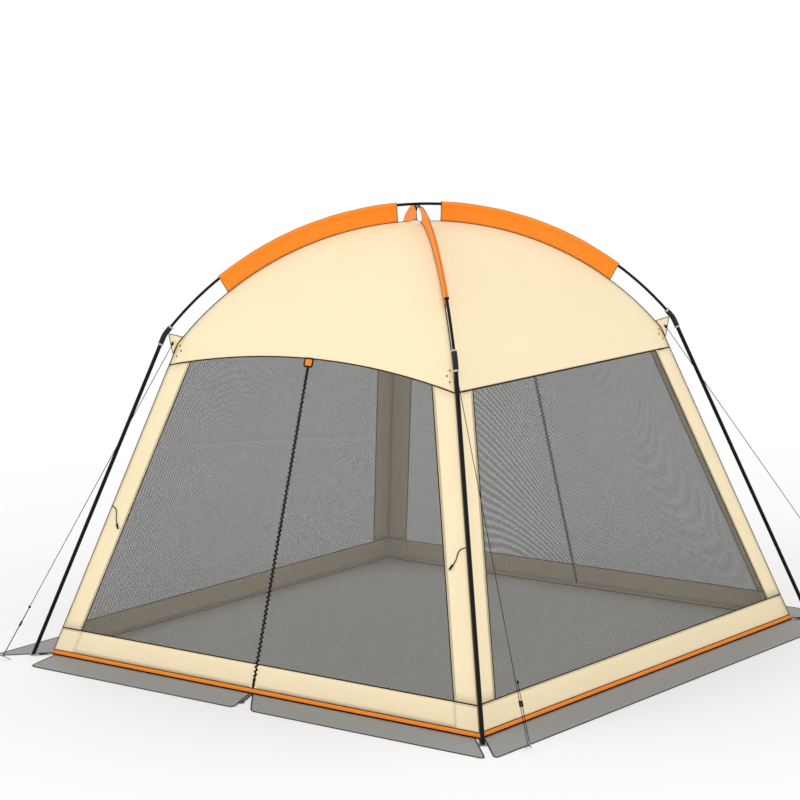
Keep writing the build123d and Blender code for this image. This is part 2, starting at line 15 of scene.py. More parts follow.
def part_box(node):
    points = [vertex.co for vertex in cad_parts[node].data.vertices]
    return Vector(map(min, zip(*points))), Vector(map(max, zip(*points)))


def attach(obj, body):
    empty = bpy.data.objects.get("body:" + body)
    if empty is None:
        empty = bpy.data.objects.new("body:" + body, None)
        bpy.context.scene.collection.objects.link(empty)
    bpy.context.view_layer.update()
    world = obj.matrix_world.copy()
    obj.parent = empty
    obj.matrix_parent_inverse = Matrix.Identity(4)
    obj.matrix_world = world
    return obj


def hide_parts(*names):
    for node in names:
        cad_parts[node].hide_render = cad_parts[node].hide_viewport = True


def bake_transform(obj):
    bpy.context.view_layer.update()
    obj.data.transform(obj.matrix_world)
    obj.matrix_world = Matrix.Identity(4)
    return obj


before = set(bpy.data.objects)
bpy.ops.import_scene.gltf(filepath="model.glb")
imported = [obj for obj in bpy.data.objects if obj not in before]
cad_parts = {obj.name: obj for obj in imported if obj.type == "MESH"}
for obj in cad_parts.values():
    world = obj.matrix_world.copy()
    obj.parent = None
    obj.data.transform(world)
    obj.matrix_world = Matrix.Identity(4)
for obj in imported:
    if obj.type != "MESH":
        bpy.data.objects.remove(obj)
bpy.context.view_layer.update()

SIDES = ("front", "right", "back", "left")
CORNERS = ("front_left", "front_right", "back_right", "back_left")
DOOR_SIDES = (0, 2)
ROOT = "shelter"

# ---- sizes, read from the frame where a node's box gives them ----
side_roof_low, side_roof_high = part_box("roof_panel_right")
side_mesh_low, side_mesh_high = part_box("mesh_right")
EAVE_HALF = side_roof_high.x
EAVE_HEIGHT = side_roof_low.z
CROWN = side_roof_high.z
BAND_TOP = side_mesh_low.z
LEAN_RUN = (side_mesh_high.x - EAVE_HALF) / (EAVE_HEIGHT - BAND_TOP)
BASE_HALF = EAVE_HALF + LEAN_RUN * EAVE_HEIGHT
HEM_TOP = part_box("door_tabs")[1].z
LEAN = atan(LEAN_RUN)
SHOULDER = 1.760                 # where the canopy turns from wall line to dome
CLOTH = 0.0012                   # thickness of the cloth
BINDING = 0.007                  # width of the dark binding on an edge
EDGE_THICK = 0.0052              # and its thickness: it shows on both sides of the cloth
STRIP = 0.150                    # corner strips, on each side of the corner seam
HINGE_GAP = 0.001                # from a strip's edge to the line that its door swings on
WELT = 0.030                     # height of the orange tape at the foot

shoulder_half = BASE_HALF - LEAN_RUN * SHOULDER
dome_rise = CROWN - SHOULDER
DOME_RADIUS = (2 * shoulder_half**2 + dome_rise**2) / (2 * dome_rise)
DOME_CENTRE = CROWN - DOME_RADIUS
DOME_TURN = atan2((SHOULDER - DOME_CENTRE) / DOME_RADIUS, shoulder_half / (DOME_RADIUS / sqrt(2)))

LOW_POLE_TOP = 2.492             # crest of the lower pole's middle line
POLE_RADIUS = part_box("roof_pole_lower")[1].z - LOW_POLE_TOP
POLE_TOP = [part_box(f"roof_pole_{w}")[1].z - POLE_RADIUS for w in ("lower", "upper")]
MOUTH_REACH = 1.423              # elbow mouth: out along the diagonal, and height
MOUTH_HEIGHT = 1.852
SLEEVE_ENDS = (3.9, 37.4)        # degrees from straight up, on the pole's arc
SLEEVE_RADIUS = 0.0125
EYELET = (1.410, 1.765)          # out along the diagonal, and height


def direction(angle):
    """Unit vector in plan, for an angle in degrees."""
    return Vector((cos(radians(angle)), sin(radians(angle)), 0))


def facing(side):
    return direction(-90 + 90 * side)


def along(side):
    return direction(90 * side)


def wall_normal(side):
    return facing(side) * cos(LEAN) + Vector((0, 0, sin(LEAN)))


def half_at(height):
    """Half the width of the room at a height, on the wall's outer face."""
    return BASE_HALF - LEAN_RUN * height


def on_wall(side, u, height, out=0.0):
    """Point on a wall: along it, at a height, and out from its face."""
    face = facing(side) * half_at(height) + along(side) * u + Vector((0, 0, height))
    return face + wall_normal(side) * out


def hem_height(u, arched):
    """Height of the canopy's hem at a distance along the wall."""
    if not arched:
        return EAVE_HEIGHT
    low, top = EAVE_HEIGHT / cos(LEAN), HEM_TOP / cos(LEAN)
    rise = top - low
    radius = (EAVE_HALF**2 + rise**2) / (2 * rise)
    return (top - radius + sqrt(radius**2 - u**2)) * cos(LEAN)


def inner_edge(height):
    return half_at(height) - STRIP


def between(a, b, hand):
    """Two edges in order along the wall, for a part that lies on one hand of its middle."""
    return (lambda h: hand * a(h), lambda h: hand * b(h))[::hand]


def hem_meets(edge, arched):
    """Height at which an upright edge, given as a distance for a height, meets the hem."""
    height = EAVE_HEIGHT
    for _ in range(6):
        height = hem_height(edge(height), arched)
    return height


def diagonal(corner):
    return direction(-135 + 90 * corner)


def on_diagonal(corner, reach, height, aside=0.0):
    across = diagonal(corner).cross(Vector((0, 0, 1)))
    return diagonal(corner) * reach + Vector((0, 0, height)) + across * aside


def soft(u, v, scale, seed):
    """Smooth unevenness of cloth, from -1 to 1."""
    return noise.noise(Vector((u * scale, v * scale, seed)))


# ---- materials ----
class Nodes:
    """Short ways to add and join the nodes of one material."""

    def __init__(self, name, colour, roughness, metallic=0.0, gloss=0.5):
        self.material = bpy.data.materials.new(name)
        self.material.use_nodes = True
        self.tree = self.material.node_tree
        self.shader = self.tree.nodes["Principled BSDF"]
        self.shader.inputs["Base Color"].default_value = (*colour, 1)
        self.shader.inputs["Roughness"].default_value = roughness
        self.shader.inputs["Metallic"].default_value = metallic
        self.shader.inputs["Specular IOR Level"].default_value = gloss
        self.colour = colour
        self.coordinates = self.add("ShaderNodeTexCoord")

    def add(self, kind, **settings):
        node = self.tree.nodes.new(kind)
        for key, value in settings.items():
            if key.startswith("in_"):
                node.inputs[key[3:].replace("_", " ")].default_value = value
            else:
                setattr(node, key, value)
        return node

    def link(self, source, target):
        self.tree.links.new(source, target)

    def math(self, operation, a, b=None):
        node = self.add("ShaderNodeMath", operation=operation)
        for socket, value in zip(node.inputs, (a, b)):
            if isinstance(value, (int, float)):
                socket.default_value = value
            elif value is not None:
                self.link(value, socket)
        return node.outputs[0]

    def noise(self, scale, detail=3.0, space="Object"):
        node = self.add("ShaderNodeTexNoise", in_Scale=scale, in_Detail=detail)
        self.link(self.coordinates.outputs[space], node.inputs["Vector"])
        return node.outputs["Fac"]

    def axis(self, which, space="UV"):
        node = self.add("ShaderNodeSeparateXYZ")
        self.link(self.coordinates.outputs[space], node.inputs[0])
        return node.outputs[which]

    def threads(self, position, pitch):
        """A rounded ridge over each thread, 0 between threads and 1 on top of them."""
        turns = self.math("MULTIPLY", position, pi / pitch)
        return self.math("ABSOLUTE", self.math("SINE", turns))

    def vary(self, factor, amount):
        """Lighten and darken the base colour by a factor that is about a half on average."""
        darker = tuple(c * (1 - amount) for c in self.colour)
        lighter = tuple(min(1.0, c * (1 + amount)) for c in self.colour)
        mix = self.add("ShaderNodeMix", data_type="RGBA")
        mix.inputs[6].default_value = (*darker, 1)
        mix.inputs[7].default_value = (*lighter, 1)
        self.link(factor, mix.inputs[0])
        self.link(mix.outputs[2], self.shader.inputs["Base Color"])

    def roughen(self, factor, low, high):
        span = self.math("MULTIPLY", factor, high - low)
        self.link(self.math("ADD", span, low), self.shader.inputs["Roughness"])

    def bump(self, height, distance, strength=1.0, under=None):
        node = self.add("ShaderNodeBump", in_Strength=strength, in_Distance=distance)
        self.link(height, node.inputs["Height"])
        if under is not None:
            self.link(under, node.inputs["Normal"])
        self.link(node.outputs[0], self.shader.inputs["Normal"])
        return node.outputs[0]


def cloth(
    name, colour, pitch=0.0012, roughness=(0.62, 0.8), sheen=0.06, variation=0.04, crease=0.006, gloss=0.3,
):
    """Woven cloth: threads both ways, soft creases, and a slightly uneven colour."""
    n = Nodes(name, colour, roughness[0], gloss=gloss)
    blotch = n.noise(2.3)
    n.vary(n.math("ADD", n.math("MULTIPLY", blotch, 0.8), 0.1), variation)
    n.roughen(n.noise(9.0), *roughness)
    creases = n.bump(n.noise(4.5, 2.0), crease)
    weave = n.math("MAXIMUM", n.threads(n.axis(0), pitch), n.threads(n.axis(1), pitch))
    n.bump(weave, pitch * 0.2, 0.6, creases)
    n.shader.inputs["Sheen Weight"].default_value = sheen
    n.shader.inputs["Sheen Roughness"].default_value = 0.5
    return n.material


NET_EDGE = 2.2             # how sharply a thread of the mesh ends at a hole
NET_PATTERN = 0.16         # how much wider the threads get in the larger pattern


def netting(name, colour, pitch, thread, pattern):
    """See-through mesh: holes between threads, in a net with a faint larger pattern."""
    n = Nodes(name, colour, 0.75)
    lines = [n.threads(n.axis(k), pitch) for k in (0, 1)]
    both_ways = [n.math(way, n.axis(0), n.axis(1)) for way in ("ADD", "SUBTRACT")]
    swell = n.math("MULTIPLY", *[n.threads(way, pattern) for way in both_ways])
    limit = n.math("ADD", thread, n.math("MULTIPLY", swell, NET_PATTERN))
    holes = []
    for line in lines:
        hole = n.add("ShaderNodeMath", operation="MULTIPLY_ADD", use_clamp=True)
        n.link(n.math("SUBTRACT", line, limit), hole.inputs[0])
        hole.inputs[1].default_value, hole.inputs[2].default_value = NET_EDGE, 0.5
        holes.append(hole.outputs[0])
    open_both = n.math("MULTIPLY", *holes)
    n.link(n.math("SUBTRACT", 1.0, open_both), n.shader.inputs["Alpha"])
    n.vary(n.noise(3.0), 0.08)
    n.bump(n.math("MAXIMUM", *lines), pitch * 0.1, 0.4)
    return n.material


def webbing(name, colour, pitch=0.0025):
    """Flat strap with ribs along it."""
    n = Nodes(name, colour, 0.7, gloss=0.15)
    warp, weft = n.threads(n.axis(1), pitch), n.threads(n.axis(0), pitch * 0.8)
    # Colour darker between the ribs and lighter on their tops: painted shade in the grooves and a painted
    # highlight on the ribs.
    n.vary(n.math("MULTIPLY", warp, weft), 0.35)
    n.roughen(n.noise(30.0), 0.6, 0.85)
    n.bump(n.math("MAXIMUM", warp, weft), 0.0004, 0.7)
    n.shader.inputs["Sheen Weight"].default_value = 0.05
    return n.material


def plait(name, colour, pitch=0.006):
    """Braided cord: two sets of strands that wind round it."""
    n = Nodes(name, colour, 0.65, gloss=0.15)
    x, y, z = (n.axis(k, "Object") for k in range(3))
    ring = n.math("ADD", x, y)
    strands = [n.threads(n.math("ADD", n.math("MULTIPLY", ring, s), z), pitch) for s in (-1.6, 1.6)]
    both = n.math("MULTIPLY", *strands)
    # Colour darker between the strands and lighter on their crests: painted shade in the grooves and a
    # painted highlight on the strands.
    n.vary(both, 0.5)
    n.roughen(n.noise(50.0), 0.55, 0.8)
    n.bump(both, 0.0006, 0.8)
    return n.material


def moulded(name, colour, roughness=(0.38, 0.55), grain=900.0, gloss=0.5):
    """Moulded plastic with a fine grain and a few scuffs."""
    n = Nodes(name, colour, roughness[0], gloss=gloss)
    scuff = n.noise(14.0, 5.0)
    n.vary(scuff, 0.25)
    n.roughen(scuff, *roughness)
    n.bump(n.noise(grain, 1.0), 0.0002, 0.5)
    return n.material


def tube_finish(name, colour, roughness=(0.22, 0.38), metallic=0.0, streak=60.0):
    """Painted or plated tube: fine streaks and rubbed patches."""
    n = Nodes(name, colour, roughness[0], metallic, 0.5 if metallic else 0.14)
    patches = n.noise(5.0, 4.0)
    n.vary(patches, 0.18)
    n.roughen(n.noise(streak, 2.0), *roughness)
    n.bump(n.noise(streak * 6, 1.0), 0.00015, 0.4)
    return n.material


CREAM = (0.93, 0.78, 0.515)
TRIM_WEAVE = dict(pitch=0.001, crease=0.001)
ORANGE = (0.96, 0.255, 0.012)
canopy_cloth = cloth("canopy_cloth", CREAM)
# Inside face of the cream cloth: the same cream made darker, painted shade for the inside of the room.
inner_cloth_painted_shade = cloth("inner_cloth_painted_shade", (0.76, 0.635, 0.43), roughness=(0.45, 0.6), sheen=0.0)
orange_cloth = cloth("orange_cloth", ORANGE, variation=0.08)
skirt_cloth = cloth("skirt_cloth", (0.30, 0.30, 0.295), pitch=0.002, roughness=(0.55, 0.75), sheen=0.0)
net_cloth = netting("screen_mesh", (0.115, 0.115, 0.11), pitch=0.0030, thread=0.47, pattern=0.026)
edge_tape = cloth("edge_tape", (0.016, 0.012, 0.006), sheen=0.02, variation=0.2, gloss=0.15, **TRIM_WEAVE)
seam_thread = cloth("seam_thread", (0.13, 0.09, 0.04), sheen=0.05, variation=0.2, gloss=0.2, **TRIM_WEAVE)
black_tape = cloth("black_tape", (0.003, 0.003, 0.003), sheen=0.0, variation=0.3, gloss=0.1, **TRIM_WEAVE)
black_webbing = webbing("black_webbing", (0.008, 0.008, 0.008))
black_cord = plait("black_cord", (0.006, 0.006, 0.006))
zip_teeth = moulded("zip_teeth", (0.004, 0.004, 0.004), (0.25, 0.4), gloss=0.15)
black_plastic = moulded("black_plastic", (0.010, 0.010, 0.011), gloss=0.25)
grey_plastic = moulded("grey_plastic", (0.46, 0.46, 0.46))
black_pole = tube_finish("black_pole", (0.0025, 0.0025, 0.0025))
black_leg = tube_finish("black_leg", (0.0025, 0.0025, 0.003), (0.3, 0.45))
zinc_steel = tube_finish("zinc_steel", (0.42, 0.42, 0.43), (0.25, 0.5), 1.0, 120.0)
dark_metal = tube_finish("dark_metal", (0.030, 0.026, 0.018), (0.3, 0.5), 0.6)


# ---- making pieces ----
class Shape:
    """Points, cloth coordinates and faces of one piece while it is put together."""

    def __init__(self):
        self.points, self.places, self.faces, self.kinds = [], [], [], []

    def grid(self, rows, places, wrap=False, caps=False, kind=0):
        """Faces between rows of points; wrap joins each row's ends, caps close the first and last."""
        start, width = len(self.points), len(rows[0])
        for row, place in zip(rows, places):
            self.points += row
            self.places += place
        for i in range(len(rows) - 1):
            for j in range(width if wrap else width - 1):
                k = (j + 1) % width
                low, high = start + i * width, start + (i + 1) * width
                self.faces.append((low + j, low + k, high + k, high + j))
        if caps:
            last = start + (len(rows) - 1) * width
            self.faces.append(tuple(start + j for j in reversed(range(width))))
            self.faces.append(tuple(last + j for j in range(width)))
        self.kinds += [kind] * (len(self.faces) - len(self.kinds))

    def sweep(self, line, normals, width, thick, sides=8, kind=0, closed=False):
        """Rounded tape or cord along a line: width lies across the normal, thick along it."""
        rows, places, travelled = [], [], 0.0
        count = len(line)
        turns = [2 * pi * j / sides for j in range(sides)]
        section = [(cos(a) * width / 2, sin(a) * thick / 2) for a in turns]
        for i, point in enumerate(line):
            after = line[(i + 1) % count] if closed else line[min(i + 1, count - 1)]
            before = line[i - 1] if closed else line[max(i - 1, 0)]
            ahead = (after - before).normalized()
            normal = normals[i] if isinstance(normals, list) else normals
            across = ahead.cross(normal).normalized()
            normal = across.cross(ahead)
            rows.append([point + across * x + normal * y for x, y in section])
            places.append([(travelled, x) for x, _ in section])
            travelled += (after - point).length
        if closed:
            rows.append(rows[0])
            places.append([(travelled, v) for _, v in places[0]])
        self.grid(rows, places, wrap=True, caps=not closed, kind=kind)

    def block(self, centre, x, y, z, kind=0):
        """Small block with bevelled ends, given by its half-axes."""
        rings = []
        for level, share in ((-1, 0.7), (-0.6, 1), (0.6, 1), (1, 0.7)):
            corners = [(-1, -1), (1, -1), (1, 1), (-1, 1)]
            rings.append([centre + z * level + x * (a * share) + y * (b * share) for a, b in corners])
        self.grid(rings, [[(0, 0)] * 4] * 4, wrap=True, caps=True, kind=kind)

    def make(self, name, slot, materials, body=ROOT, replaces=(), thick=0.0, inner=None, middle=False):
        """Turn it into an object that rides on a body."""
        mesh = bpy.data.meshes.new(name)
        mesh.from_pydata(self.points, [], self.faces)
        layer = mesh.uv_layers.new(name="UVMap")
        for loop in mesh.loops:
            layer.data[loop.index].uv = self.places[loop.vertex_index]
        for polygon, kind in zip(mesh.polygons, self.kinds):
            polygon.material_index = kind
        edit = bmesh.new()
        edit.from_mesh(mesh)
        bmesh.ops.remove_doubles(edit, verts=edit.verts, dist=1e-5)
        bmesh.ops.dissolve_degenerate(edit, edges=edit.edges, dist=1e-6)
        edit.to_mesh(mesh)
        edit.free()
        mesh.shade_smooth()
        piece = bpy.data.objects.new(name, mesh)
        bpy.context.scene.collection.objects.link(piece)
        for material in materials:
            mesh.materials.append(material)
        if thick:
            solid = piece.modifiers.new("thickness", "SOLIDIFY")
            solid.thickness = thick
            solid.offset = 0 if middle else -1
            if inner is not None:
                mesh.materials.append(inner)
                solid.material_offset = len(materials)
        if body is not None:
            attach(piece, body)
        if replaces:
            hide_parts(*replaces)
        return piece


def steps(low, high, count):
    return [low + (high - low) * i / count for i in range(count + 1)]


# ---- canopy ----
VALANCE_ROWS = 7
DOME_ROWS = 30
ROOF_COLUMNS = 44
SAG = 0.014                # how far a roof panel dips between its ridges
FOLD = 0.0035              # height of the tension folds that leave each lower corner
FOLD_RAYS = 9
FOLD_FADE = 0.28           # distance over which the folds die out
HEM_TAPE = 0.0075


def roof_rows(side):
    """Points and cloth coordinates of one roof panel, from its hem up to the crown."""
    arched = side in DOOR_SIDES
    rows, places = [], []
    for i in range(VALANCE_ROWS + DOME_ROWS + 1):
        row, place = [], []
        for r in steps(-1, 1, ROOF_COLUMNS):
            if i <= VALANCE_ROWS:
                hem = hem_meets(lambda h: r * half_at(h), arched)
                height = hem + (SHOULDER - hem) * i / VALANCE_ROWS
                x = half_at(height)
                outward = wall_normal(side)
                risen, q = height / cos(LEAN), 0.0
            else:
                q = (i - VALANCE_ROWS) / DOME_ROWS
                turn = DOME_TURN + (pi / 2 - DOME_TURN) * q
                x, height = DOME_RADIUS / sqrt(2) * cos(turn), DOME_CENTRE + DOME_RADIUS * sin(turn)
                outward = (facing(side) * cos(turn) * sqrt(2) + Vector((0, 0, sin(turn)))).normalized()
                risen = SHOULDER / cos(LEAN) + q * DOME_RADIUS * (pi / 2 - DOME_TURN) * 0.8
            u = r * x
            inside = 1 - r * r
            dip = -SAG * inside * sin(pi * q) ** 0.8 + 0.004 * inside * soft(u, risen, 1.7, side)
            for hand in (-1, 1):
                away = Vector((u - hand * shoulder_half, risen - SHOULDER / cos(LEAN)))
                fan = atan2(away.y, -hand * away.x)
                fading = 2.72 ** (-away.length / FOLD_FADE)
                dip += FOLD * sin(FOLD_RAYS * fan) * min(1.0, 6 * inside) * fading
            row.append(facing(side) * x + along(side) * u + Vector((0, 0, height)) + outward * dip)
            place.append((u, risen))
        rows.append(row)
        places.append(place)
    return rows, places


roof = {}
for side, word in enumerate(SIDES):
    panel = Shape()
    roof[side] = roof_rows(side)
    panel.grid(*roof[side])
    piece = panel.make(
        f"canopy_{word}", "canopy_cloth", [canopy_cloth], replaces=[f"roof_panel_{word}"],
        thick=CLOTH, inner=inner_cloth_painted_shade,
    )

trim = Shape()
for side in range(4):
    rows = roof[side][0]
    trim.sweep(rows[0], wall_normal(side), HEM_TAPE, 0.004)
    hem_fold = [a.lerp(b, 0.25) + wall_normal(side) * 0.0006 for a, b in zip(rows[0], rows[1])]
    trim.sweep(hem_fold[1:-1], wall_normal(side), 0.0016, 0.0012, sides=5, kind=1)
trim.make("canopy_hem_tape", "canopy_cloth", [edge_tape, seam_thread])

ridges = Shape()
for corner in range(4):
    ridge = [row[0] for row in roof[corner][0]]
    ridges.sweep(ridge[:-1], diagonal(corner), 0.0055, 0.0055)
ridges.make("canopy_ridge_piping", "canopy_cloth", [edge_tape])

# ---- walls that stay put ----
WALL_ROWS = 26
BILLOW = 0.006


def upright_rows(side, low, high, near, far, columns, rise=WALL_ROWS, billow=0.0, seed=0.0):
    """Grid on a wall between two edges: near and far give a distance for a height, high the top
    edge's height for a distance, and rise is the number of rows."""
    rows, places = [], []
    for i in range(rise + 1):
        row, place = [], []
        for j in range(columns + 1):
            s, t = j / columns, i / rise
            height = low
            for _ in range(5):
                u = near(height) + (far(height) - near(height)) * s
                height = low + (high(u) - low) * t
            swell = billow * sin(pi * s) ** 0.5 * sin(pi * t) ** 0.5
            out = -swell * (0.6 + 0.8 * soft(u, height, 1.4, seed))
            row.append(on_wall(side, u, height, out))
            place.append((u, height / cos(LEAN)))
        rows.append(row)
        places.append(place)
    return rows, places


def edge_line(side, edge, low, high, out=0.0, count=24):
    return [on_wall(side, edge(h), h, out) for h in steps(low, high, count)]


for corner, word in enumerate(CORNERS):
    strip, tape = Shape(), Shape()
    for side, hand in ((corner, -1), ((corner - 1) % 4, 1)):
        arched = side in DOOR_SIDES
        edges = between(inner_edge, half_at, hand)
        inner = edges[0 if hand > 0 else 1]
        top = lambda u, arched=arched: hem_height(u, arched)
        strip.grid(*upright_rows(side, BAND_TOP, top, *edges, columns=6, billow=0.0015, seed=corner + 0.5))
        meets = hem_meets(inner, arched)
        tape.sweep(edge_line(side, inner, BAND_TOP, meets), wall_normal(side), BINDING, EDGE_THICK)
        for inset in (0.010, 0.016):
            stitched = lambda h, hand=hand, inset=inset: hand * (inner_edge(h) + inset)
            tape.sweep(
                edge_line(side, stitched, BAND_TOP + 0.004, meets - 0.004, 0.0004),
                wall_normal(side), 0.0014, 0.001, sides=5, kind=1,
            )
    seam = [
        on_wall(corner, -half_at(h), h) + diagonal(corner) * 0.0008
        for h in steps(WELT, EAVE_HEIGHT, 30)
    ]
    tape.sweep(seam, diagonal(corner), 0.005, 0.0045, kind=1)
    strip.make(
        f"strip_{word}", "canopy_cloth", [canopy_cloth], replaces=[f"corner_strip_{word}"],
        thick=CLOTH, inner=inner_cloth_painted_shade,
    )
    tape.make(f"strip_tape_{word}", "canopy_cloth", [edge_tape, seam_thread])

for side in (1, 3):
    word = SIDES[side]
    panel = Shape()
    panel.grid(*upright_rows(
        side, BAND_TOP, lambda u: EAVE_HEIGHT, lambda h: -inner_edge(h), inner_edge,
        columns=40, billow=BILLOW, seed=side + 7.1,
    ))
    piece = panel.make(f"screen_{word}", "screen_mesh", [net_cloth], replaces=[f"mesh_{word}"])

# ---- band and tape round the foot of the walls ----
band, band_tape = Shape(), Shape()
for side in range(4):
    spans = [((lambda h: -half_at(h), half_at), 48)]
    if side in DOOR_SIDES:
        spans = [(between(inner_edge, half_at, hand), 8) for hand in (-1, 1)]
    for edges, columns in spans:
        rows, places = upright_rows(
            side, WELT * 0.6, lambda u: BAND_TOP, *edges, columns, 6, 0.001, side + 3.3,
        )
        band.grid(rows, places)
        band_tape.sweep(rows[-1], wall_normal(side), BINDING, EDGE_THICK)
        folded = [a.lerp(b, 0.4) + wall_normal(side) * 0.0005 for a, b in zip(rows[-1], rows[-2])]
        band_tape.sweep(folded, wall_normal(side), 0.0014, 0.001, sides=5, kind=1)
band.make(
    "foot_band", "canopy_cloth", [canopy_cloth], replaces=["wall_bands"], thick=CLOTH, inner=inner_cloth_painted_shade,
)
band_tape.make("foot_band_tape", "canopy_cloth", [edge_tape, seam_thread])

WELT_OUT = 0.0025           # how far the orange tape stands out from the wall
WELT_PROFILE = (            # height and distance out, from its lower edge up
    (0.0015, 0.0), (0.004, WELT_OUT), (WELT * 0.5, WELT_OUT + 0.0006),
    (WELT - 0.003, WELT_OUT), (WELT, 0.0),
)
base_tape, base_lines = Shape(), Shape()
for side in range(4):
    rows, places = [], []
    for height, out in WELT_PROFILE:
        half = half_at(height) + out / cos(LEAN)
        spots = steps(-half, half, 60)
        rows.append([on_wall(side, u, height, out + 0.0004 * soft(u, height, 30, side)) for u in spots])
        places.append([(u, height) for u in spots])
    base_tape.grid(rows, places)
    for height, thick, kind in ((WELT - 0.001, 0.0045, 0), (0.0044, 0.0085, 1)):
        half = half_at(height)
        line = [on_wall(side, u, height, WELT_OUT - 0.0006) for u in steps(-half, half, 40)]
        base_lines.sweep(line, wall_normal(side), thick, 0.0045, kind=kind)
base_tape.make(
    "base_tape", "orange_cloth", [orange_cloth], replaces=["base_welt"], thick=0.001, inner=inner_cloth_painted_shade,
)
base_lines.make("base_tape_edges", "orange_cloth", [edge_tape, black_tape])

# ---- doors ----
TAB_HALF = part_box("door_tabs")[1].x
TAB_LOW = 1.704             # lower edge of the tab
SEAM = 0.001                # gap at the edges of a flap
FLAP_LOW = WELT + SEAM
ZIP_NEAR = 0.0012           # inner edge of each half of the zip
ZIP_SEWN = 0.0067           # edge of the mesh under the tape, clear of the slider
ZIP_FAR = 0.0088            # outer edge of the tape
ZIP_SHARES = (0.0, 0.35, 0.75, 1.0)     # places of the points from one edge to the other
ZIP_CLOTH = 0.008           # width of half a zip in cloth coordinates
ZIP_WAVE = 0.0078           # how far the puckered zip wanders to each side
ZIP_PERIOD = 0.024          # height of one wave
ZIP_LIFT = 0.0012           # how far the waves lift the tape's outer edge
SHARPNESS = 0.97            # of the waves' crests; 1 would make a plain zigzag
SLIDER_LIFT = 1.6145        # how much higher a slider stands at the top of its travel
SLIDER_ROOM = 0.005         # straight zip left at each end of a slider
ZIP_ROWS = 640              # rows of points up a zip, enough to follow its waves
ZIP_BAND_ROWS = 60          # the same, in the band below the mesh
TOOTH_PITCH = 0.0042

slider_low, slider_high = (corner.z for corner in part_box("zip_slider_front"))
WAVES_FROM = slider_high + SLIDER_ROOM
WAVES_TO = slider_low + SLIDER_LIFT - SLIDER_ROOM


def pucker(height):
    """Sideways wander of the zip at a height; it lies straight where a slider rests."""
    turn = 2 * pi * height / ZIP_PERIOD
    into_waves = min(height - WAVES_FROM, WAVES_TO - height)
    share = min(1.0, max(0.0, into_waves / ZIP_PERIOD))
    return ZIP_WAVE * share * asin(SHARPNESS * sin(turn)) / (pi / 2)


def flap_top(u, near_zip):
    """Top edge of a door flap: the hem, or the tab's lower edge beside the zip."""
    hem = hem_height(u, True) - SEAM
    return min(hem, TAB_LOW - SEAM) if near_zip else hem


def hinge_edge(height):
    return inner_edge(height) - HINGE_GAP


for side in DOOR_SIDES:
    for hand, word in ((-1, "left"), (1, "right")):
        name = f"{SIDES[side]}_{word}"
        body = f"door_{name}"
        notch = lambda h: TAB_HALF + SEAM
        zip_side = lambda h, hand=hand: ZIP_SEWN + hand * pucker(h)
        mesh, lower, tape = Shape(), Shape(), Shape()
        low_top = lambda u: flap_top(u, True)
        spans = (
            (between(zip_side, notch, hand), 3, ZIP_ROWS, ZIP_BAND_ROWS, 0.0),
            (between(notch, hinge_edge, hand), 34, WALL_ROWS, 5, BILLOW),
        )
        for edges, columns, mesh_rows, band_rows, billow in spans:
            mesh.grid(*upright_rows(side, BAND_TOP, low_top, *edges, columns, mesh_rows, billow, hand))
            lower.grid(*upright_rows(side, FLAP_LOW, lambda u: BAND_TOP, *edges, columns, band_rows))

        # The part between the tab's lower edge and the hem, out to where the two meet.  The hem is
        # so shallow an arc that it is taken as a parabola.
        rows, places = [], []
        reach = sqrt(1 - ((TAB_LOW - SEAM - EAVE_HEIGHT) / (HEM_TOP - EAVE_HEIGHT))) * EAVE_HALF
        spots = [hand * u for u in steps(TAB_HALF + SEAM, reach, 20)][::hand]
        for t in steps(0, 1, 3):
            heights = [flap_top(u, True) + (flap_top(u, False) - flap_top(u, True)) * t for u in spots]
            rows.append([on_wall(side, u, h) for u, h in zip(spots, heights)])
            places.append([(u, h / cos(LEAN)) for u, h in zip(spots, heights)])
        mesh.grid(rows, places)

        edges = between(zip_side, hinge_edge, hand)
        top_line = upright_rows(side, FLAP_LOW, lambda u: BAND_TOP, *edges, 36, 1)[0][-1]
        tape.sweep(top_line, wall_normal(side), BINDING, EDGE_THICK)

        screen = mesh.make(f"flap_mesh_{name}", "screen_mesh", [net_cloth], None, [f"door_mesh_{name}"])
        flap_band = lower.make(
            f"flap_band_{name}", "canopy_cloth", [canopy_cloth], None, [f"door_band_{name}"],
            thick=CLOTH, inner=inner_cloth_painted_shade,
        )
        binding = tape.make(f"flap_tape_{name}", "canopy_cloth", [edge_tape], None)
        hinge = on_wall(side, hand * hinge_edge(0), 0)
        rising = on_wall(side, hand * hinge_edge(EAVE_HEIGHT), EAVE_HEIGHT) - hinge
        inward = rising.cross(wall_normal(side)).normalized()
        if inward.dot(along(side)) * hand > 0:
            inward = -inward
        for cloth_piece in (screen, flap_band, binding):
            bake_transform(cloth_piece)

        zipper = Shape()
        rows, places = [], []
        for height in steps(FLAP_LOW, TAB_LOW - SEAM, ZIP_ROWS):
            shift, lift = pucker(height), ZIP_LIFT * cos(2 * pi * height / ZIP_PERIOD)
            row = []
            for share in ZIP_SHARES:
                u = ZIP_NEAR + (ZIP_FAR - ZIP_NEAR) * share
                row.append(on_wall(side, hand * u + shift, height, 0.0006 + lift * share))
            rows.append(row[::hand])
            places.append([(share * ZIP_CLOTH, height) for share in ZIP_SHARES][::hand])
        zipper.grid(rows, places)
        zipper.make(f"zip_tape_{name}", "zip_tape", [black_tape], body, [f"zip_{name}"], thick=0.0018)
        teeth = Shape()
        count = int((TAB_LOW - SEAM - FLAP_LOW) / TOOTH_PITCH)
        for k in range(count):
            height = FLAP_LOW + (k + (0.25 if hand > 0 else 0.75)) * TOOTH_PITCH
            centre = on_wall(side, pucker(height) + hand * (ZIP_NEAR + 0.0009), height, 0.0006)
            up = (on_wall(side, 0, height + 0.1) - on_wall(side, 0, height)).normalized()
            teeth.block(centre, along(side) * 0.0020, up * 0.0012, wall_normal(side) * 0.0021)
        teeth.make(f"zip_teeth_{name}", "zip_tape", [zip_teeth], body)

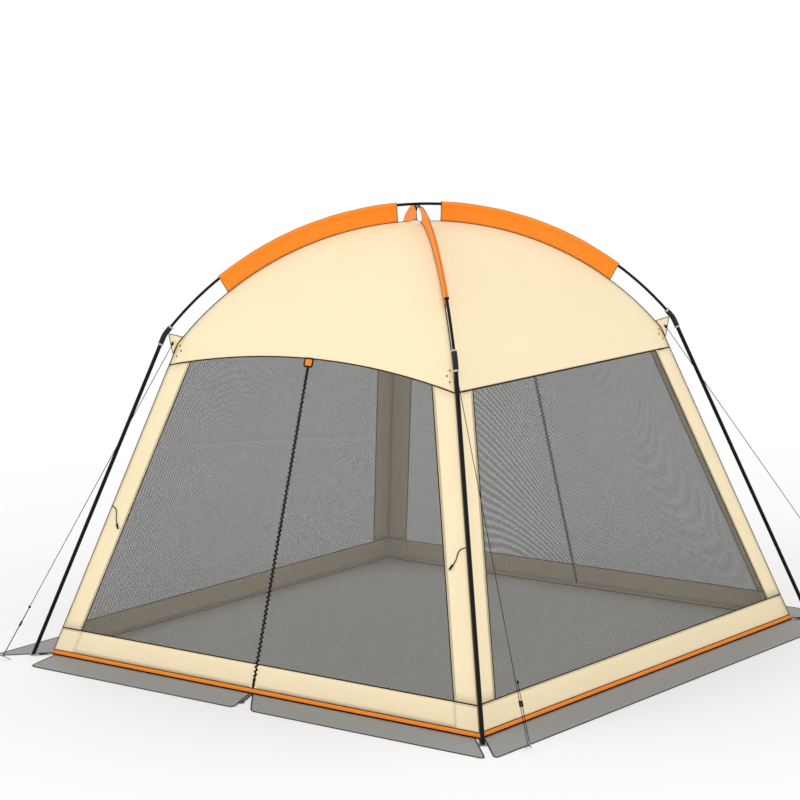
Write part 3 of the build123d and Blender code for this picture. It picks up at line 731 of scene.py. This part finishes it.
for side in DOOR_SIDES:
    tab = Shape()
    rows, places = [], []
    for t in steps(0, 1, 6):
        row, place = [], []
        for s in steps(-1, 1, 10):
            u = s * TAB_HALF
            height = TAB_LOW + (hem_height(u, True) - TAB_LOW) * t
            swell = 0.0018 * (1 - s**4) * (1 - (2 * t - 1) ** 4)
            row.append(on_wall(side, u, height, 0.0008 + swell))
            place.append((u, height / cos(LEAN)))
        rows.append(row)
        places.append(place)
    tab.grid(rows, places)
    rim = rows[0] + [r[-1] for r in rows[1:]] + rows[-1][-2::-1] + [r[0] for r in rows[-2:0:-1]]
    tab.sweep(rim, wall_normal(side), 0.0065, 0.004, kind=1, closed=True)
    tab.make(
        f"zip_tab_{SIDES[side]}", "orange_cloth", [orange_cloth, edge_tape], replaces=["door_tabs"],
        thick=0.002,
    )

# ---- ground skirts ----
SKIRT_IN = BASE_HALF + 0.005
SKIRT_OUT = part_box("ground_skirts")[1].x
SKIRT_WIDTH = SKIRT_OUT - SKIRT_IN
MITRE = 0.024 * sqrt(2)      # what each skirt stops short of the corner
CORNER_ROUND = 0.03
RIPPLE = 0.005
END_CUTS = [0, 0.002, 0.005, 0.009, 0.014, 0.02]     # close together, to follow a rounded corner
skirt_ends = (               # side, name, ends of the inner edge, ends of the outer edge
    (0, "front_left", (-(SKIRT_IN - MITRE), -0.012), (-1.427, 0.100)),
    (0, "front_right", (0.012, SKIRT_IN - MITRE), (0.225, SKIRT_OUT - MITRE)),
    (1, "right", (-(SKIRT_IN - MITRE), SKIRT_IN - MITRE), (-(SKIRT_OUT - MITRE), SKIRT_OUT - MITRE)),
    (2, "back_left", (-(SKIRT_IN - MITRE), -0.012), (-(SKIRT_OUT - MITRE), 0.100)),
    (2, "back_right", (0.012, SKIRT_IN - MITRE), (0.225, SKIRT_OUT - MITRE)),
    (3, "left", (-(SKIRT_IN - MITRE), SKIRT_IN - MITRE), (-(SKIRT_OUT - MITRE), SKIRT_OUT - MITRE)),
)


def rounding(distance):
    """How much of the skirt's width is lost beside a rounded corner."""
    if distance >= CORNER_ROUND:
        return 0.0
    return CORNER_ROUND - sqrt(max(0.0, CORNER_ROUND**2 - (CORNER_ROUND - distance) ** 2))


for side, word, (in_a, in_b), (out_a, out_b) in skirt_ends:
    skirt = Shape()
    rows, places = [], []
    cuts = END_CUTS + steps(0.03, 0.97, 60) + [1 - cut for cut in END_CUTS[::-1]]
    for t in steps(0, 1, 12):
        row, place = [], []
        for s in cuts:
            full = out_a + (out_b - out_a) * s
            lost = rounding(full - out_a) + rounding(out_b - full)
            share = t * (1 - lost / SKIRT_WIDTH)
            a, b = in_a + (out_a - in_a) * share, in_b + (out_b - in_b) * share
            u = a + (b - a) * s
            out = SKIRT_IN + SKIRT_WIDTH * share
            uneven = max(0.0, soft(u, share * 0.5, 3.2, side + 20))
            ripple = RIPPLE * uneven * sin(pi * min(share * 1.1, 1)) ** 0.5
            row.append(facing(side) * out + along(side) * u + Vector((0, 0, 0.0022 + ripple)))
            place.append((u, out))
        rows.append(row[::-1])
        places.append(place[::-1])
    skirt.grid(rows, places)
    outline = [r[0] for r in rows[:-1]] + rows[-1] + [r[-1] for r in rows[-2::-1]]
    edge = [p - Vector((0, 0, 0.0003)) for p in outline]
    skirt.sweep(edge, Vector((0, 0, 1)), 0.0055, 0.0024, sides=6, kind=1)
    piece = skirt.make(
        f"skirt_{word}", "skirt_sheet", [skirt_cloth, edge_tape], replaces=["ground_skirts"], thick=0.0009,
    )

# ---- pole sleeves ----
FIN_HALF = 0.0011           # half the thickness of the fin under a sleeve
SLEEVE_CREST = 9            # place of the outermost point in a section


def pole_arc(which):
    """Radius and centre height of a pole's arc."""
    rise = POLE_TOP[which] - MOUTH_HEIGHT
    radius = (MOUTH_REACH**2 + rise**2) / (2 * rise)
    return radius, POLE_TOP[which] - radius


def sleeve_section(which, outward, angle, gather):
    """Closed loop of cloth round the pole and down to the ridge, at one angle on the arc."""
    radius, centre = pole_arc(which)
    a = radians(angle)
    pole = outward * (radius * sin(a)) + Vector((0, 0, centre + radius * cos(a)))
    seam = outward * (DOME_RADIUS * sin(a)) + Vector((0, 0, DOME_CENTRE + DOME_RADIUS * cos(a) + 0.001))
    down = (seam - pole).normalized()
    aside = outward.cross(Vector((0, 0, 1)))
    fin = (seam - pole).length
    size = SLEEVE_RADIUS + 0.0008 * gather
    half = []
    for t in (1.0, 0.85, 0.6, 0.4):
        puff = 0.0014 * sin(pi * t) * gather
        half.append(pole + down * (fin * t) + aside * (FIN_HALF + puff))
    for turn in (40, 65, 90, 120, 150):
        half.append(pole + down * (size * cos(radians(turn))) + aside * (size * sin(radians(turn))))
    other = [p - aside * (2 * (p - pole).dot(aside)) for p in half]
    return half + [pole - down * size] + other[::-1]


for which, word in enumerate(("lower", "upper")):
    sleeve = Shape()
    right = diagonal(1 if which == 0 else 2)
    for outward in (right, -right):
        angles = steps(*SLEEVE_ENDS, 70)
        loops = [sleeve_section(which, outward, a, soft(a * 0.35, which, 1.0, 5.5) * 2) for a in angles]
        places = []
        for a, loop in zip(angles, loops):
            placed, travelled = [], 0.0
            for p, q in zip(loop, loop[1:] + loop[:1]):
                placed.append((radians(a) * DOME_RADIUS, travelled))
                travelled += (q - p).length
            places.append(placed)
        sleeve.grid([loop[::-1] for loop in loops], places, wrap=True)
        for loop in (loops[0], loops[-1]):
            aim = (loops[1][0] - loops[0][0]).normalized()
            sleeve.sweep(loop, aim, 0.0035, 0.0045, sides=6, kind=1, closed=True)
        seam_line = [(loop[0] + loop[-1]) / 2 for loop in loops]
        sleeve.sweep(seam_line, outward, 0.006, 0.005, sides=6, kind=1)
        crest = [loop[SLEEVE_CREST] for loop in loops]
        sleeve.sweep(crest, outward, 0.003, 0.003, sides=6, kind=1)
    sleeve.make(
        f"sleeve_{word}", "orange_cloth", [orange_cloth, seam_thread], replaces=[f"pole_sleeve_{word}"],
    )

# ---- gussets round the eyelets ----
EYELET_RADIUS = 0.0045
GUSSET = ((1.355, 1.797), (1.428, 1.817), (1.431, 1.808), (1.413, 1.703), (1.3855, 1.760))


def ray_to(outline, centre, angle):
    """Distance from a centre to an outline in one direction."""
    heading = Vector((cos(angle), sin(angle)))
    best = 1.0
    for a, b in zip(outline, outline[1:] + outline[:1]):
        start, run = Vector(a) - Vector(centre), Vector(b) - Vector(a)
        cross = heading.x * run.y - heading.y * run.x
        if abs(cross) < 1e-9:
            continue
        reach = (start.x * run.y - start.y * run.x) / cross
        part = (start.x * heading.y - start.y * heading.x) / cross
        if reach > 0 and -1e-6 <= part <= 1 + 1e-6:
            best = min(best, reach)
    return best


for corner, word in enumerate(CORNERS):
    gusset = Shape()
    rows, places = [], []
    for t in steps(0, 1, 5):
        row, place = [], []
        for k in range(72):
            a = 2 * pi * k / 72
            far = ray_to(GUSSET, EYELET, a)
            reach = EYELET_RADIUS + (far - EYELET_RADIUS) * t
            x, z = EYELET[0] + cos(a) * reach, EYELET[1] + sin(a) * reach
            row.append(on_diagonal(corner, x, z, 0.0012 * sin(pi * t) * soft(x, z, 25, corner)))
            place.append((x, z))
        rows.append(row)
        places.append(place)
    gusset.grid(rows, places, wrap=True)
    across = diagonal(corner).cross(Vector((0, 0, 1)))
    corners = [on_diagonal(corner, x, z) for x, z in GUSSET]
    rim = [a.lerp(b, k / 6) for a, b in zip(corners, corners[1:] + corners[:1]) for k in range(6)]
    gusset.sweep(rim, across, 0.0035, 0.0035, sides=6, kind=1, closed=True)
    gusset.make(
        f"gusset_{word}", "canopy_cloth", [canopy_cloth, seam_thread], replaces=["corner_gussets"],
        thick=0.0016, middle=True,
    )

# ---- cords ----
def cord(name, stands_for, points, radius):
    """Smooth black cord through a route's points, as one open spline."""
    curve = bpy.data.curves.new(name, "CURVE")
    curve.dimensions = "3D"
    curve.bevel_depth = radius
    curve.bevel_resolution = 3
    curve.use_fill_caps = True
    curve.resolution_u = 24
    spline = curve.splines.new("NURBS")
    spline.points.add(len(points) - 1)
    for slot, point in zip(spline.points, points):
        slot.co = (*point, 1)
    spline.order_u = 3
    spline.use_endpoint_u = True
    curve.materials.append(black_cord)
    piece = bpy.data.objects.new(name, curve)
    bpy.context.scene.collection.objects.link(piece)
    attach(piece, ROOT)
    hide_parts(stands_for)
    return piece


def knot(shape, centre, axis, turns=3, radius=0.0042, strand=0.0042, length=0.012):
    """A few wraps of cord round its own line, with one strand laid over them."""
    side = axis.cross(Vector((0, 0, 1))).normalized()
    up = side.cross(axis)
    line, normals = [], []
    for k in range(turns * 12 + 1):
        a = 2 * pi * k / 12
        radial = side * cos(a) + up * sin(a)
        line.append(centre + axis * (length * (k / (turns * 12) - 0.5)) + radial * radius)
        normals.append(radial)
    shape.sweep(line, normals, strand, strand, sides=7)
    arch = [(length * 0.62 * cos(a), radius * 1.5 * sin(a)) for a in steps(0, pi, 10)]
    shape.sweep([centre + axis * x + up * y for x, y in arch], side, strand, strand, sides=7)


ROPE_RADIUS = 0.002
PEG_RADIUS = 0.003
STRAND_HALF = PEG_RADIUS + ROPE_RADIUS + 0.0003
GUY_ENDS = {0: (-1.665, -1.775), 1: (1.832, -1.540), 2: (1.890, 1.785)}   # turn round the peg, in plan
GUY_END_HEIGHT = 0.020
KNOT = 0.009                # length of rope inside a knot
RETURN = 0.320              # from the peg back to the stopper knot
STRAIGHT_END = 0.024        # how far from the peg each straight run ends
knots = Shape()
for corner, (end_x, end_y) in GUY_ENDS.items():
    word = CORNERS[corner]
    across = diagonal(corner).cross(Vector((0, 0, 1)))
    near_turn = Vector((end_x, end_y, GUY_END_HEIGHT))
    hand = 1 if near_turn.dot(across) > 0 else -1
    tied = on_diagonal(corner, EYELET[0], EYELET[1], hand * 0.0075)
    run = (near_turn - tied).normalized()
    level = run.cross(Vector((0, 0, 1))).normalized()
    far_turn = near_turn - level * (2 * STRAND_HALF)
    tail_end = far_turn - run * RETURN
    start = tied + run * KNOT
    route = [
        start, near_turn - run * STRAIGHT_END, near_turn,
        far_turn, far_turn - run * STRAIGHT_END, tail_end,
    ]
    rope = cord(f"guy_line_{word}", f"guy_rope_{word}", route, ROPE_RADIUS)
    knot(knots, tied + run * KNOT / 2, run)
    knot(knots, tail_end - run * KNOT / 2, run)
    eye = on_diagonal(corner, *EYELET)
    loop = []
    for k in range(16):
        a = 2 * pi * k / 16
        loop.append(eye + across * (hand * 0.0048 * cos(a)) + run * (0.0072 * sin(a) + 0.005))
    knots.sweep(loop, run.cross(across).normalized(), 0.003, 0.003, sides=7, closed=True)
knots.make("guy_line_knots", "black_cord", [black_cord], replaces=["guy_knots"])

TIE_RADIUS = 0.0025
# In from the strip's outer edge, and up from the start.
TIE_ROUTE = ((0.004, 0), (0.036, -0.009), (0.058, -0.033), (0.068, -0.065), (0.092, -0.091))
for hand, start_height, word in ((-1, 0.846, "left"), (1, 0.894, "right")):
    route = []
    for inward, rise in TIE_ROUTE:
        height = start_height + rise
        route.append(on_wall(0, hand * (half_at(height) - inward), height, TIE_RADIUS + 0.0003))
    tie = cord(f"tie_back_{word}", f"tie_cord_{word}", route, TIE_RADIUS)

# ---- straps and peg loops at the ground ----
BAR_REACH = 1.600 * sqrt(2) - 0.034     # bar of a foot's ring, out along the diagonal
BAR_HEIGHT = 0.0056
WRAP = 0.0043                           # from the bar's middle to the strap that goes round it
straps = Shape()
for corner in range(4):
    side_way = diagonal(corner).cross(Vector((0, 0, 1)))
    profile = [(BASE_HALF * sqrt(2) + 0.004, 0.011), (BAR_REACH - 0.06, 0.009), (BAR_REACH - 0.012, 0.009)]
    for a in range(0, 200, 20):
        profile.append((BAR_REACH + WRAP * sin(radians(a)), BAR_HEIGHT + WRAP * cos(radians(a))))
    profile += [(BAR_REACH - 0.012, 0.003), (BAR_REACH - 0.05, 0.0058)]
    line = [on_diagonal(corner, x, z) for x, z in profile]
    normals = []
    for i in range(len(line)):
        ahead = (line[min(i + 1, len(line) - 1)] - line[max(i - 1, 0)]).normalized()
        normals.append(ahead.cross(side_way).normalized())
    straps.sweep(line, normals, 0.020, 0.0016, sides=10)
straps.make("corner_straps", "black_webbing", [black_webbing], replaces=["ground_straps"])

pegs = Shape()
for side in DOOR_SIDES:
    def flat(u, out, z, side=side):
        return facing(side) * out + along(side) * u + Vector((0, 0, z))

    lead = [flat(0.008 + 0.064 * t, SKIRT_IN + 0.001 + 0.149 * t, 0.0042) for t in steps(0, 1, 8)]
    pegs.sweep(lead, Vector((0, 0, 1)), 0.012, 0.0018, sides=8)
    ring = []
    for k in range(28):
        a = 2 * pi * k / 28
        ring.append(flat(0.078 + 0.0115 * cos(a), SKIRT_IN + 0.163 + 0.0115 * sin(a), 0.0036))
    pegs.sweep(ring, Vector((0, 0, 1)), 0.007, 0.003, sides=8, closed=True)
pegs.make("peg_loops", "black_webbing", [black_webbing], replaces=["door_peg_loops"])

# ---- CAD pieces that keep their shape ----
finishes = {
    "roof_pole": black_pole, "leg": black_leg, "elbow_collars": grey_plastic, "elbow": black_plastic,
    "pole_ferrules": black_pole, "foot_pins": zinc_steel, "corner_eyelets": dark_metal,
    "zip_slider": dark_metal, "zip_pull": dark_metal, "guy_runner": black_plastic,
    "guy_pegs": zinc_steel, "tie_toggles": black_plastic,
}
for node_name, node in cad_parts.items():
    for start, finish in finishes.items():
        if node_name.startswith(start):
            node.data.materials.clear()
            node.data.materials.append(finish)
            break

# ---- floor, light and camera ----
scene = bpy.context.scene
scene.view_settings.view_transform = "Standard"

FLOOR_RADIUS = 60.0
PLAIN_FLOOR = 3.2           # distance from the middle up to which the floor only reflects
BRIGHT_FLOOR = 7.0          # distance from which it is evenly white
floor_finish = Nodes("floor", (0.93, 0.93, 0.93), 0.9)
glow = floor_finish.add("ShaderNodeEmission", in_Color=(1, 1, 1, 1), in_Strength=1.0)
blend_floor = floor_finish.add("ShaderNodeMixShader")
distance = floor_finish.add("ShaderNodeVectorMath", operation="LENGTH")
floor_finish.link(floor_finish.coordinates.outputs["Object"], distance.inputs[0])
fade = floor_finish.add("ShaderNodeMapRange")
fade.inputs["From Min"].default_value = PLAIN_FLOOR
fade.inputs["From Max"].default_value = BRIGHT_FLOOR
floor_finish.link(distance.outputs["Value"], fade.inputs["Value"])
floor_finish.link(fade.outputs["Result"], blend_floor.inputs[0])
floor_finish.link(floor_finish.shader.outputs[0], blend_floor.inputs[1])
floor_finish.link(glow.outputs[0], blend_floor.inputs[2])
output = floor_finish.tree.nodes["Material Output"]
floor_finish.link(blend_floor.outputs[0], output.inputs["Surface"])

bpy.ops.mesh.primitive_circle_add(
    vertices=96, radius=FLOOR_RADIUS, fill_type="NGON", location=(0, 0, -0.0005),
)
floor = bpy.context.object
floor.name = "floor"
floor.data.materials.append(floor_finish.material)

world = bpy.data.worlds.new("studio")
world.use_nodes = True
world.node_tree.nodes["Background"].inputs["Color"].default_value = (1, 1, 1, 1)
world.node_tree.nodes["Background"].inputs["Strength"].default_value = 1.0
scene.world = world


def softbox(name, place, size, power):
    """Large area light aimed at the middle of the object."""
    lamp = bpy.data.lights.new(name, "AREA")
    lamp.size = size
    lamp.energy = power
    holder = bpy.data.objects.new(name, lamp)
    holder.location = place
    holder.rotation_euler = (Vector((0, 0, 1.2)) - Vector(place)).to_track_quat("-Z", "Y").to_euler()
    scene.collection.objects.link(holder)


softbox("key_light", (-4.0, -9.0, 8.0), 6.0, 110)
softbox("fill_light", (9.0, -4.0, 6.0), 6.0, 60)
softbox("low_light", (7.0, -8.5, 1.0), 5.0, 80)

# The camera looks at the room from the front right, a little above the canopy's top.
CAMERA_PLACE = Vector((9.272, -11.755, 3.722))
YAW, PITCH, ROLL = radians(128.763), radians(-8.857), radians(-1.185)
forward = Vector((cos(PITCH) * cos(YAW), cos(PITCH) * sin(YAW), sin(PITCH)))
level_right = forward.cross(Vector((0, 0, 1))).normalized()
level_up = level_right.cross(forward)
right_way = level_right * cos(ROLL) + level_up * sin(ROLL)
up_way = level_up * cos(ROLL) - level_right * sin(ROLL)
lens = bpy.data.cameras.new("camera")
lens.sensor_width = 36
lens.lens = 119.4
camera = bpy.data.objects.new("camera", lens)
camera.matrix_world = Matrix.Translation(CAMERA_PLACE) @ Matrix(
    (right_way, up_way, -forward)
).transposed().to_4x4()
scene.collection.objects.link(camera)
scene.camera = camera
